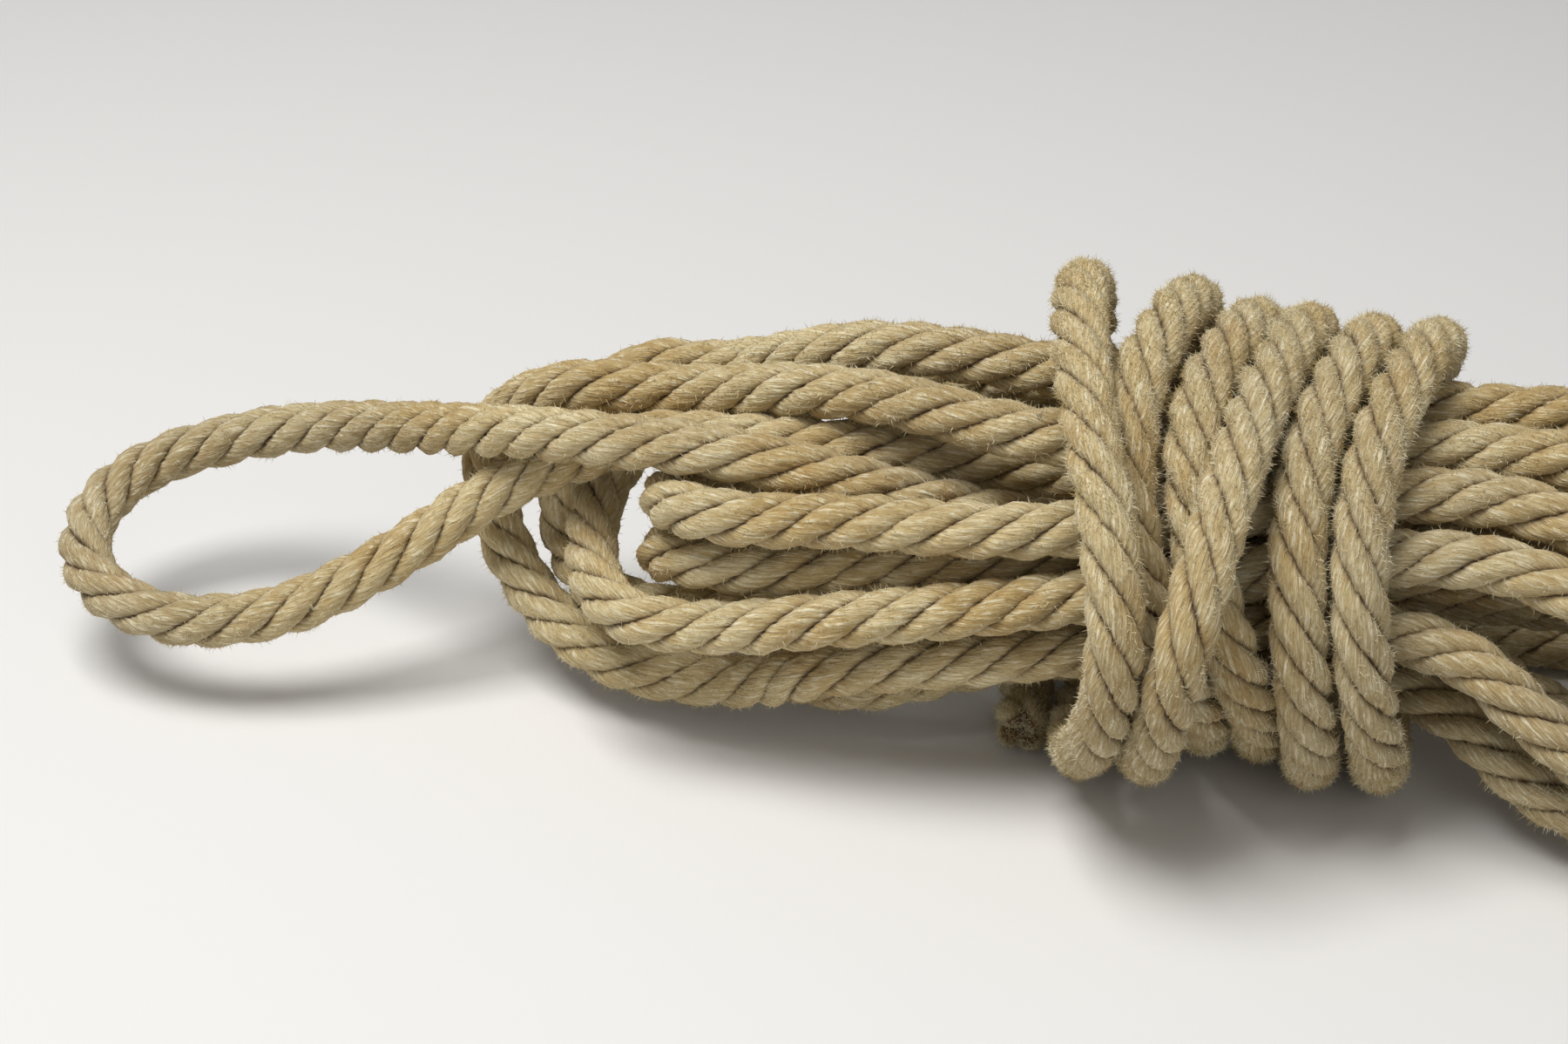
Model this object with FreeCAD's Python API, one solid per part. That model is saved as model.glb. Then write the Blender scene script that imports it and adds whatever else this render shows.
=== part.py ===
import FreeCAD, Part
import math
import os
from collections import namedtuple

# A laid rope made up as a hank: six long loops, drawn in at the waist by six
# turns of the same rope, with an eye to hang it by at the left.  X runs along
# the hank, Y to the back and Z up.  Sizes are in millimetres.

os.makedirs("parts", exist_ok=True)
Vec = FreeCAD.Vector
X_DIR = Vec(1, 0, 0)
Y_DIR = Vec(0, 1, 0)
Z_DIR = Vec(0, 0, 1)

# Driving dimensions
ROPE_D = 11.0           # the rope, without its fuzz
HANK_LENGTH = 314.0     # the loops from crown to crown, without the eye
FLAT = 0.5              # depth of the flat where the turns rest on the floor
FULL_LEFT = -72.0       # where the left half of the hank is fullest
WAIST_LEFT = -31.0      # left end of the drawn-in waist
WAIST_RIGHT = 36.0      # right end of the waist
FULL_RIGHT = 66.0       # where the right half is fullest
CORE_X = 72.0           # where the eye's strand becomes the first loop
CORE_REACH = 101.0      # how far that strand goes to the right before it turns

SWELL = ROPE_D / 11.0               # the y and z places below suit an 11 mm rope
STRETCH = HANK_LENGTH / 314.0       # the crowns' and the eye's x places suit 314 mm
ROPE_R = ROPE_D / 2
FLOOR_Z = ROPE_R                    # centre of a rope that lies on the floor
REST_Z = ROPE_R - FLAT              # centre of a turn that the hank rests on
WAIST_HIGH = 45.0 * SWELL           # height of the middle of the bundle at the waist
LEAD_BACK = 46.0 * SWELL            # the lead to the turns lies this far behind the middle
FIRST_TURN_Y = 1.0 * SWELL          # the first turn leaves the floor here
END_X = -40.3 * SWELL               # the rope's end lies on this line under the bundle
END_Y = -17.0 * SWELL               # and stops here, in front of the middle
END_LENGTH = 14.0 * SWELL           # how much of it stands out of the last turn
LAST_TURN_Y = END_Y + END_LENGTH + ROPE_D
LEAST_GAP = 0.4                     # between one turn and the next
CUT_MARGIN = 1.0                    # how far the floor's cut reaches past the turns
STRAIGHT = 1e-4                     # an arc of less than this angle is a straight line

# Every loop goes left along its lower run, round the left crown, back along
# its upper run and round the right crown.  A run is a list of (y, z) places:
# left shoulder, left full, waist left, waist right, right full, right shoulder.
# The left crown is the lower shoulder's x, the tip and the upper shoulder's x.
Loop = namedtuple("Loop", "lower upper left_x tip upper_x reach")
LOOPS = [
    Loop([(-29, 57), (-28, 58.5), (-26, 60.5), (-12.1, 68.5), (-15.5, 67), (-17.5, 58)],
         [(4, 45), (13, 50), (26, 57.5), (28.5, 54), (27.8, 51.6), (24, 46)],
         -92, (-108, -12.6, 50.8), -92, 106),
    Loop([(-23.5, 43), (-24.5, 46), (-18.5, 49.5), (-8, 56), (-11, 53), (-12, 42)],
         [(2, 31), (13, 37), (28.5, 44), (30, 41.5), (30, 39), (29, 34.2)],
         -96, (-109, -12, 37.5), -94, 126),
    Loop([(-32, 33.5), (-35.5, 41), (-30, 47), (-21, 59.3), (-24.5, 56.8), (-28, 40)],
         [(24, 54), (25, 63), (19, 68.5), (23, 65), (25.5, 64.5), (28, 60)],
         -105, (-126.8, 3, 38.5), -104, 140),
    Loop([(-17, 12), (-27, 24), (-26, 33.5), (-23.5, 44.2), (-33, 30), (-30, 16)],
         [(5, 64), (-5, 74), (-12, 72), (-1.3, 72.6), (-4.3, 74), (-1, 68.5)],
         -107, (-149.5, 9, 36), -122, 164.2),
    Loop([(-9, 22), (-13, 30.5), (-13, 31.5), (-5.5, 33), (-9, 21.5), (3, 6)],
         [(17, 64), (7, 77.5), (6, 76.5), (12, 73.8), (14.5, 75), (17, 72)],
         -112, (-137.3, 14, 35), -112, 152),
    Loop([(-12, 11.7), (-12.9, 11.9), (-14, 18.3), (-14, 22.8), (-26, 13), (-17, 6)],
         [(29.5, 31.5), (29, 31), (27, 31), (28, 29), (29, 24.8), (28, 22)],
         -78, (-94.5, 9.5, 21.5), -78, 132),
]
CORE_END = (6, 60)      # (y, z) of the strand that the first loop starts from

# Every turn starts under the bundle and goes up the front, over the top and
# down the back, and the next one starts where it ends.  The x places are those
# of the bottom, front, top and back, and a lean is x per millimetre of rope.
Turn = namedtuple("Turn", "bottom front top back middle_y front_y back_y high front_z "
                          "lean_bottom lean_front lean_top")
TURNS = [
    Turn(33.9, 27.9, 35.8, 33.0, 5.5, 42.2, 41.0, 86.0, 45, 0.0, -0.10, 0.40),
    Turn(21.0, 15.1, 23.0, 20.6, 4.5, 41.5, 41.0, 86.0, 45, 0.0, -0.15, 0.40),
    Turn(8.4, 2.4, -2.2, -5.4, 4.0, 42.2, 41.0, 87.3, 45, 0.0, -0.25, 0.48),
    Turn(-16.0, -6.8, 10.4, 7.8, 6.0, 62.0, 37.0, 91.3, 52, -0.03, 0.16, 0.42),
    Turn(-3.2, -9.8, -14.3, -18.6, 4.5, 43.7, 41.0, 91.0, 45, 0.0, -0.29, 0.38),
    Turn(-28.7, -20.1, -32.4, -34.1, 4.3, 61.0, 38.0, 95.5, 52, -0.03, 0.05, -0.20),
]

# The eye's strand, from its hidden end through the core of the hank, round the
# eye and back: points of straight runs that arcs join.
EYE_ROUTE = [
    (58, 4, 42), (36, 2, 44), (8, -2, 45.7), (-20, -5, 48), (-46, -10, 52.5),
    (-70, -16.8, 60.4), (-95, -20.5, 66.1), (-120, -16, 63.5), (-142, -7, 58),
    (-165, 7, 48.5), (-190, 19, 40), (-212, 19, 34.5), (-229, 8, 31),
    (-234, -9, 27), (-227, -25, 22), (-206, -32, 19), (-183, -27, 22),
    (-163, -16, 32), (-147, -3.5, 42), (-128, -2.5, 52.5), (-112, -5.5, 60.0),
    (-92, -8.4, 62.1), (-70, -5, 61.5), (-48, 1, 58), (-31, 5, 54), (0, 6, 54),
    (28, 6.5, 55), (52, 6, 60),
]


def place(x, yz):
    """A point of the route, with its section grown to suit the rope."""
    return Vec(x, yz[0] * SWELL, yz[1] * SWELL)


# Smooth paths ---------------------------------------------------------------

def arc_edge(start, heading, end):
    """The arc that leaves start along heading and reaches end."""
    chord = end - start
    side = heading - chord * (heading.dot(chord) / chord.dot(chord))
    half = heading.getAngle(chord)
    if half < STRAIGHT:
        return Part.LineSegment(start, end).toShape(), heading, math.inf
    side.normalize()
    top = start + chord / 2 + side * (chord.Length / 2 * math.tan(half / 2))
    along = Vec(chord).normalize()
    leaving = along * math.cos(half) - side * math.sin(half)
    radius = chord.Length / 2 / math.sin(half)
    return Part.Arc(start, top, end).toShape(), leaving, radius


def biarc(start, heading, end, leaving):
    """Two arcs that join smoothly, from start to end with those headings."""
    gap = end - start
    both = heading + leaving
    a = 2 * (heading.dot(leaving) - 1)
    b = -2 * gap.dot(both)
    c = gap.dot(gap)
    if abs(a) < 1e-9:
        reach = -c / b
    else:
        reach = (-b - math.sqrt(b * b - 4 * a * c)) / (2 * a)
    joint = (start + end + (heading - leaving) * reach) / 2
    first, turned, first_radius = arc_edge(start, heading, joint)
    second, _, second_radius = arc_edge(joint, turned, end)
    return [first, second], min(first_radius, second_radius)


def smooth_path(keys):
    """Biarcs through (point, heading) keys, and their least radius."""
    edges = []
    radii = []
    for (start, heading), (end, leaving) in zip(keys, keys[1:]):
        if (end - start).cross(heading).Length < 1e-6 and heading.dot(leaving) > 1 - 1e-9:
            edges.append(Part.LineSegment(start, end).toShape())
            continue
        pair, radius = biarc(start, heading, end, leaving)
        edges += pair
        radii.append(radius)
    return edges, min(radii)


def heading_at(before, here, after):
    """The heading at a place between two others, nearer ones counting more."""
    back = here - before
    ahead = after - here
    mean = back * (ahead.Length / back.Length) + ahead * (back.Length / ahead.Length)
    return mean.normalize()


def rounded_path(points):
    """Straight runs with an arc at every corner, and the arcs' radii."""
    runs = [b - a for a, b in zip(points, points[1:])]
    edges = []
    radii = []
    here = points[0]
    for corner, before, after in zip(points[1:], runs, runs[1:]):
        half = before.getAngle(after) / 2
        reach = 0.45 * min(before.Length, after.Length)
        entry = corner - Vec(before).normalize() * reach
        leave = corner + Vec(after).normalize() * reach
        edges.append(Part.LineSegment(here, entry).toShape())
        edges.append(arc_edge(entry, Vec(before).normalize(), leave)[0])
        radii.append(reach / math.tan(half))
        here = leave
    edges.append(Part.LineSegment(here, points[-1]).toShape())
    return edges, radii


def tube(edges):
    """One round tube along a path."""
    path = Part.Wire(edges)
    start = edges[0].valueAt(edges[0].FirstParameter)
    heading = edges[0].tangentAt(edges[0].FirstParameter)
    ring = Part.Wire([Part.Circle(start, heading, ROPE_R).toShape()])
    solid = path.makePipeShell([ring], True, False)
    return Part.Solid(Part.Shell(solid.Faces)) if solid.ShapeType != "Solid" else solid


def path_length(edges):
    return sum(edge.Length for edge in edges)


# The route ------------------------------------------------------------------

def run_keys(xs, places):
    """Keys along one run, whose ends head straight along the hank."""
    points = [place(x, yz) for x, yz in zip(xs, places)]
    way = X_DIR if xs[-1] > xs[0] else -X_DIR
    keys = [(points[0], way)]
    for before, here, after in zip(points, points[1:], points[2:]):
        keys.append((here, heading_at(before, here, after)))
    keys.append((points[-1], way))
    return keys


def right_crown(upper, lower, reach):
    """The shoulders' x, and the key at the tip of a right crown."""
    start = place(0, upper)
    end = place(0, lower)
    radius = (end - start).Length / 2
    tip = (start + end) / 2 + X_DIR * reach
    return reach - radius, (tip, (end - start).normalize())


def left_crown(loop):
    """The key at the tip of a loop's left crown, headed across it."""
    across = place(0, loop.upper[0]) - place(0, loop.lower[0])
    return place(loop.tip[0] * STRETCH, loop.tip[1:]), across.normalize()


def loop_keys():
    """The whole run of the loops, from the core to the first turn."""
    stations = [FULL_LEFT, WAIST_LEFT, WAIST_RIGHT, FULL_RIGHT]
    shoulder, tip = right_crown(CORE_END, LOOPS[0].lower[-1], CORE_REACH * STRETCH)
    keys = [(place(CORE_X, CORE_END), X_DIR), (place(shoulder, CORE_END), X_DIR), tip]
    ends = [loop.lower[-1] for loop in LOOPS[1:]]
    ends.append((LEAD_BACK / SWELL, FLOOR_Z / SWELL))
    for loop, after in zip(LOOPS, ends):
        lower_xs = [shoulder] + stations[::-1] + [loop.left_x * STRETCH]
        keys += run_keys(lower_xs, loop.lower[::-1])
        keys.append(left_crown(loop))
        shoulder, tip = right_crown(loop.upper[-1], after, loop.reach * STRETCH)
        upper_xs = [loop.upper_x * STRETCH] + stations + [shoulder]
        keys += run_keys(upper_xs, loop.upper)
        keys.append(tip)
    keys.append((place(shoulder, ends[-1]), -X_DIR))
    return keys + lead_keys()


def lead_keys():
    """The lead behind the hank, which turns in under the waist."""
    start_x = TURNS[0].bottom * SWELL
    straight_y = FIRST_TURN_Y + 2 * ROPE_D
    radius = LEAD_BACK - straight_y
    keys = [(Vec(start_x + radius, LEAD_BACK, FLOOR_Z), -X_DIR)]
    keys.append((Vec(start_x, straight_y, FLOOR_Z), -Y_DIR))
    keys.append((Vec(start_x, straight_y - ROPE_D, FLOOR_Z), -Y_DIR))
    return keys


def turn_places(turn):
    """The four places of one turn, in the order that the rope meets them."""
    middle = turn.middle_y * SWELL
    return [
        Vec(turn.bottom * SWELL, middle, REST_Z),
        Vec(turn.front * SWELL, middle - turn.front_y * SWELL, turn.front_z * SWELL),
        Vec(turn.top * SWELL, middle, turn.high * SWELL),
        Vec(turn.back * SWELL, middle + turn.back_y * SWELL, WAIST_HIGH),
    ]


def turn_keys():
    """All the turns, from the lead to the rope's end."""
    places = []
    leans = []
    for turn in TURNS:
        places += turn_places(turn)
        leans += [turn.lean_bottom, turn.lean_front, turn.lean_top, None]
    places[0] = Vec(places[0].x, FIRST_TURN_Y, FLOOR_Z)
    places.append(Vec(END_X, LAST_TURN_Y, FLOOR_Z))
    ways = [-Y_DIR, Z_DIR, Y_DIR, -Z_DIR]
    quarter = math.pi / 2 * WAIST_HIGH
    keys = [(places[0] + Y_DIR * ROPE_D, -Y_DIR), (places[0], -Y_DIR)]
    for i in range(1, len(places) - 1):
        lean = leans[i]
        if lean is None:
            lean = (places[i + 1].x - places[i - 1].x) / (2 * quarter)
        keys.append((places[i], (ways[i % 4] + X_DIR * lean).normalize()))
    keys.append((places[-1], -Y_DIR))
    keys.append((places[-1] - Y_DIR * ROPE_D, -Y_DIR))
    return keys


# What the source checks -----------------------------------------------------

def walk(edges):
    """Points every few millimetres along a path, with their distance along it."""
    points = []
    travelled = 0.0
    for edge in edges:
        count = max(2, int(edge.Length / 2.5) + 1)
        for i in range(count):
            share = i / count
            at = edge.getParameterByLength(share * edge.Length)
            points.append((edge.valueAt(at), travelled + share * edge.Length))
        travelled += edge.Length
    return points


def least_gap(one, other=None):
    """The least gap between two tubes, or between one tube and itself."""
    near = 3 * ROPE_D
    cells = {}
    for point, along in other or one:
        cell = (int(point.x // near), int(point.y // near), int(point.z // near))
        cells.setdefault(cell, []).append((point, along))
    best = (math.inf, None)
    for point, along in one:
        base = (int(point.x // near), int(point.y // near), int(point.z // near))
        for dx in (-1, 0, 1):
            for dy in (-1, 0, 1):
                for dz in (-1, 0, 1):
                    for mate, mate_along in cells.get((base[0] + dx, base[1] + dy, base[2] + dz), []):
                        if other is None and abs(along - mate_along) < near:
                            continue
                        distance = (point - mate).Length
                        if distance < best[0]:
                            best = (distance, point)
    return best[0] - ROPE_D, best[1]


def report_path(name, edges, solid):
    section = math.pi * ROPE_R ** 2
    length = path_length(edges)
    print("%s: length %.0f mm, volume %.4f of section times length, valid %s"
          % (name, length, solid.Volume / (section * length), solid.isValid()))


# Pieces ---------------------------------------------------------------------

def make_loops():
    edges, radius = smooth_path(loop_keys())
    print("hank_loops: least radius %.1f mm" % radius)
    return edges, tube(edges)


def make_turns():
    edges, radius = smooth_path(turn_keys())
    print("waist_wraps: least radius %.1f mm" % radius)
    solid = tube(edges)
    box = solid.BoundBox
    corner = Vec(box.XMin - CUT_MARGIN, box.YMin - CUT_MARGIN, -ROPE_D)
    floor = Part.makeBox(box.XLength + 2 * CUT_MARGIN, box.YLength + 2 * CUT_MARGIN, ROPE_D, corner)
    return edges, solid.cut(floor)


def make_eye():
    points = [place(point[0] * STRETCH, point[1:]) for point in EYE_ROUTE]
    points.append(place(CORE_X, CORE_END))
    edges, radii = rounded_path(points)
    print("hanging_eye: radii " + " ".join("%.0f" % radius for radius in radii))
    return edges, tube(edges)


def make_end():
    start, way = turn_keys()[-1]
    edges = [Part.LineSegment(start, start + way * END_LENGTH).toShape()]
    return edges, tube(edges)


def build():
    pieces = {
        "hank_loops": make_loops(),
        "waist_wraps": make_turns(),
        "hanging_eye": make_eye(),
        "running_end": make_end(),
    }
    walks = {name: walk(edges) for name, (edges, _) in pieces.items()}
    for name, (edges, solid) in pieces.items():
        report_path(name, edges, solid)
    for name in ("hank_loops", "waist_wraps"):
        gap, where = least_gap(walks[name])
        print("%s: least gap to itself %.2f mm at %s, %s" % (name, gap, where, gap > LEAST_GAP))
    names = list(pieces)
    for i, name in enumerate(names):
        for mate in names[i + 1:]:
            gap, where = least_gap(walks[name], walks[mate])
            print("%s to %s: least gap %.2f mm at %s" % (name, mate, gap, where))
    return {name: solid for name, (_, solid) in pieces.items()}


def centred(solids):
    """The pieces with the middle of their common box over the origin."""
    box = FreeCAD.BoundBox()
    for solid in solids.values():
        box.add(solid.optimalBoundingBox(False, False))
    shift = Vec(-(box.XMin + box.XMax) / 2, -(box.YMin + box.YMax) / 2, -box.ZMin)
    print("shift %.4f %.4f %.4f, size %.2f %.2f %.2f"
          % (shift.x, shift.y, shift.z, box.XLength, box.YLength, box.ZLength))
    return {name: solid.translated(shift) for name, solid in solids.items()}


for name, solid in centred(build()).items():
    solid.exportStep("parts/" + name + ".step")
    print(name, "volume %.0f mm3, faces %d" % (solid.Volume, len(solid.Faces)))
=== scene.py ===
"""A laid natural-fibre rope made up as a hank, dressed over its CAD frame."""

import logging
import math
from dataclasses import dataclass
from enum import Enum
from typing import Any, Optional, Sequence

import bpy
from mathutils import Matrix, Vector


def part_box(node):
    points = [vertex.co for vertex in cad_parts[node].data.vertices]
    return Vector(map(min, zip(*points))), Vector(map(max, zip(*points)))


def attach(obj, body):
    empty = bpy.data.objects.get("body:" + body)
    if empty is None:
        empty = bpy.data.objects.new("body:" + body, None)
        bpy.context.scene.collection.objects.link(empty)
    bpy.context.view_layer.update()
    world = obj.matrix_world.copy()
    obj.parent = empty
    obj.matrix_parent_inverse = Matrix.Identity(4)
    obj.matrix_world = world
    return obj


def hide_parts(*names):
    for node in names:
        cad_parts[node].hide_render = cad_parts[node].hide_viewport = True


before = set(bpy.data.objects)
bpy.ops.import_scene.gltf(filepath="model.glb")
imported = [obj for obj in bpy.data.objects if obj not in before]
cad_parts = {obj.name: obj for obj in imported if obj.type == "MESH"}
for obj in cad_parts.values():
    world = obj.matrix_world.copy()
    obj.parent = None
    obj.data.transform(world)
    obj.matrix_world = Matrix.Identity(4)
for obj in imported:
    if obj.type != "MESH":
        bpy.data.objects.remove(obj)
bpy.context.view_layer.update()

Socket = bpy.types.NodeSocket
Pair = tuple[float, float]
Place = tuple[float, float, float]

LOG = logging.getLogger("hank")
MM = 0.001
BODY = "root"
ROPE_D = 11.0
FLAT = 0.5
QUARTERS = 4
OCTAGON = math.tan(math.pi / 8)
NOWHERE = Vector((0, 0, -1))


# The route of the rope, in millimetres, before the hank is centred


@dataclass(frozen=True)
class Loop:
    """One long loop of the hank.

    A run is six (y, z) places: left shoulder, left full, waist left, waist
    right, right full and right shoulder.
    """

    lower: Sequence[Pair]
    upper: Sequence[Pair]
    left_x: float
    tip: Place
    upper_x: float
    reach: float
    full_left: float = -72.0


@dataclass(frozen=True)
class Turn:
    """One turn round the waist: x at the bottom, front, top and back.

    The tuck is the share of its radius by which its lower front is drawn in.
    """

    bottom: float
    front: float
    top: float
    back: float
    middle_y: float
    front_y: float
    back_y: float
    high: float
    front_z: float
    lean_bottom: float
    lean_front: float
    lean_top: float
    tuck: float = 0.0


@dataclass(frozen=True)
class Route:
    """The whole route of the rope, as the control points of one spline."""

    waist_left: float = -31.0
    waist_right: float = 36.0
    full_right: float = 66.0
    core_reach: float = 101.0
    core_end: Pair = (6, 60)
    waist_high: float = 45.0
    lead_back: float = 46.0
    first_turn_y: float = 1.0
    end_x: float = -40.3
    end_y: float = -17.0
    end_length: float = 14.0
    tail: Sequence[Place] = (
        (-38.6, 6.0, 5.5), (-37.9, -3.0, 5.5), (-37.3, -12.0, 5.5))
    # A quadratic spline runs inside its points by this much at 30 degree steps.
    turn_swell: float = 1.035
    steps_in_quarter: int = 3
    loops: Sequence[Loop] = (
        Loop([(-29, 57), (-28, 58.5), (-27.5, 59.7), (-9.6, 70.2), (-15.5, 67), (-17.5, 58)],
             [(4, 45), (13, 50), (28.5, 59.8), (28.5, 54), (27.8, 51.6), (24, 46)],
             -92, (-108, -12.6, 50.8), -92, 106),
        Loop([(-23.5, 43), (-24.5, 46), (-18.5, 49.5), (-5.3, 58), (-11, 53), (-12, 42)],
             [(2, 31), (13, 37), (31.8, 46), (30, 41.5), (30, 39), (29, 34.2)],
             -96, (-109, -12, 37.5), -94, 126),
        Loop([(-32, 33.5), (-35.5, 41), (-30, 47), (-18.4, 62), (-24.5, 58.8), (-28, 40)],
             [(24, 54), (25, 63), (16.9, 70.2), (23, 65), (25.5, 64.5), (28, 60)],
             -105, (-126.8, 3, 38.5), -104, 140),
        Loop([(-17, 12), (-30.5, 27.5), (-26, 33.5), (-21, 49.6), (-34, 29.3), (-30, 16)],
             [(5, 64), (-6, 75.2), (-15, 71.5), (1.5, 72.3), (-5.5, 75), (-1, 68.5)],
             -107, (-151.8, 9, 36), -122, 164.2),
        Loop([(-9, 22), (-13, 30.5), (-13, 31.5), (-3.2, 37.2), (-12, 21), (3, 6)],
             [(17, 64), (5.8, 79.5), (6, 76.5), (12, 73.8), (14.5, 75), (17, 72)],
             -112, (-137.3, 14, 35), -112, 152),
        Loop([(-12, 11.7), (-10.9, 13.9), (-3, 21.5), (0, 25.5), (-30.5, 12), (-17, 6)],
             [(29.5, 31.5), (28.4, 30.8), (26.5, 30), (26, 25.5), (29, 24.8), (28, 22)],
             -78, (-94.5, 9.5, 21.5), -78, 132, -62),
    )
    turns: Sequence[Turn] = (
        Turn(32.6, 26.6, 30.6, 30.5, 5.5, 42.2, 41.0, 86.0, 45, 0.0, -0.24, 0.38, 0.04),
        Turn(19.2, 15.5, 18.8, 18.8, 4.5, 41.5, 41.0, 86.0, 45, 0.0, -0.22, 0.38),
        Turn(8.0, 3.2, -3.5, -5.6, 4.0, 42.2, 41.0, 87.3, 45, 0.0, -0.46, 0.46, 0.13),
        Turn(-13.2, -5.6, 7.2, 6.8, 5.0, 61.0, 38.0, 87.4, 52, -0.03, 0.15, 0.34, 0.05),
        Turn(-2.8, -8.6, -15.2, -18.8, 4.5, 43.7, 41.0, 90.5, 45, 0.0, -0.54, 0.40, 0.13),
        Turn(-27.2, -15.6, -33.0, -34.1, 4.3, 61.0, 38.0, 92.7, 52, -0.03, 0.12, -0.02, 0.05),
    )
    eye: Sequence[Place] = (
        (58, 4, 42), (36, 2, 44), (8, -2, 45.7), (-20, -5, 48), (-46, -10, 52.5),
        (-70, -16.8, 60.4), (-95, -20.5, 66.1), (-120, -16, 63.5), (-142, -7, 58),
        (-165, 7, 48.5), (-190, 19, 40), (-212, 19, 34.5), (-229, 8, 31),
        (-234, -9, 27), (-227, -25, 22), (-206, -32, 19), (-183, -27, 22),
        (-163, -16, 32), (-147, -3.5, 42), (-128, -2.5, 52.5), (-112, -5.5, 60.0),
        (-92, -8.4, 62.3), (-70, -5, 61.7), (-48, 1, 58), (-31, 5, 54), (0, 6, 54),
        (28, 6.5, 55), (52, 6, 60), (72, 6, 60),
    )

    def crown(self, start: Vector, end: Vector, tip: Vector) -> list[Vector]:
        """Six points round half an octagon, which a quadratic spline rounds off.

        Args:
            start: the shoulder that the rope comes from.
            end: the shoulder that it goes to.
            tip: the furthest point of the crown.

        Returns:
            The control points; the spline meets the shoulders and the tip.
        """
        share = OCTAGON / 2
        half = (end - start).length / 2
        before = share * (abs(tip.x - start.x) + half)
        after = share * (abs(tip.x - end.x) + half)
        ahead = Vector((math.copysign(1.0, tip.x - start.x), 0, 0))
        along = (end - start).normalized()
        return [start - ahead * before, start + ahead * before, tip - along * before,
                tip + along * after, end + ahead * after, end - ahead * after]

    def run(self, xs: Sequence[float], places: Sequence[Pair]) -> list[Vector]:
        """The points of one run, from the (y, z) places at these stations."""
        return [Vector((x, y, z)) for x, (y, z) in zip(xs, places)]

    def loop_points(self) -> list[list[Vector]]:
        """The control points of every loop, from the core to the lead.

        Returns:
            One list of points for each loop; the last one holds the lead too.
        """
        ends = [loop.lower[-1] for loop in self.loops[1:]]
        ends.append((self.lead_back, ROPE_D / 2))
        points = self.right_crown(self.core_end, self.loops[0].lower[-1], self.core_reach)
        found = []
        for loop, after in zip(self.loops, ends):
            stations = [loop.full_left, self.waist_left, self.waist_right, self.full_right]
            start = Vector((loop.left_x, *loop.lower[0]))
            end = Vector((loop.upper_x, *loop.upper[0]))
            points += self.run(stations[::-1], loop.lower[-2:0:-1])
            points += self.crown(start, end, Vector(loop.tip))
            points += self.run(stations, loop.upper[1:-1])
            points += self.right_crown(loop.upper[-1], after, loop.reach)
            found.append(points)
            points = []
        found[-1] += self.lead_points()
        return found

    def right_crown(self, upper: Pair, lower: Pair,
                    reach: float) -> list[Vector]:
        """The points of a right crown.

        Args:
            upper: the (y, z) place that the rope comes from.
            lower: the (y, z) place that it goes to.
            reach: the x of its furthest point.

        Returns:
            The control points.
        """
        start = Vector((0, *upper))
        end = Vector((0, *lower))
        start.x = end.x = reach - (end - start).length / 2
        tip = (start + end) / 2
        tip.x = reach
        return self.crown(start, end, tip)

    def lead_points(self) -> list[Vector]:
        """The lead behind the hank, which turns in under the waist."""
        floor = ROPE_D / 2
        start_x = self.turns[0].bottom
        straight_y = self.first_turn_y + 2 * ROPE_D
        radius = self.lead_back - straight_y
        short = radius * (1 - OCTAGON)
        return [
            Vector((start_x + short, self.lead_back, floor)),
            Vector((start_x, self.lead_back - short, floor)),
            Vector((start_x, straight_y - ROPE_D, floor)),
        ]

    def turn_points(self) -> list[list[Vector]]:
        """The control points of every turn, at steps of 30 degrees.

        Returns:
            One list of points for each turn; the last one holds the end too.
        """
        rest = ROPE_D / 2 - FLAT
        places = []
        for turn in self.turns:
            places += [
                (turn.bottom, turn.middle_y, rest, turn.lean_bottom),
                (turn.front, turn.middle_y - turn.front_y, turn.front_z, turn.lean_front),
                (turn.top, turn.middle_y, turn.high, turn.lean_top),
                (turn.back, turn.middle_y + turn.back_y, self.waist_high, None),
            ]
        places[0] = (places[0][0], self.first_turn_y, ROPE_D / 2, None)
        places.append((*self.tail[0], None))
        length = math.pi / 2 * self.waist_high
        leans = [0.0]
        for before, here, after in zip(places, places[1:], places[2:]):
            leans.append(here[3] if here[3] is not None else (after[0] - before[0]) / (2 * length))
        leans.append(0.0)
        found = []
        for i in range(len(places) - 1):
            turn, quarter = divmod(i, QUARTERS)
            if quarter == 0:
                found.append([])
            tuck = self.turns[turn].tuck if quarter == 0 else 0.0
            found[-1] += self.quarter_points(quarter, places[i], places[i + 1],
                                             leans[i] * length, leans[i + 1] * length, tuck)
        found[-1] += [Vector(point) for point in self.tail]
        return found

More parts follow.
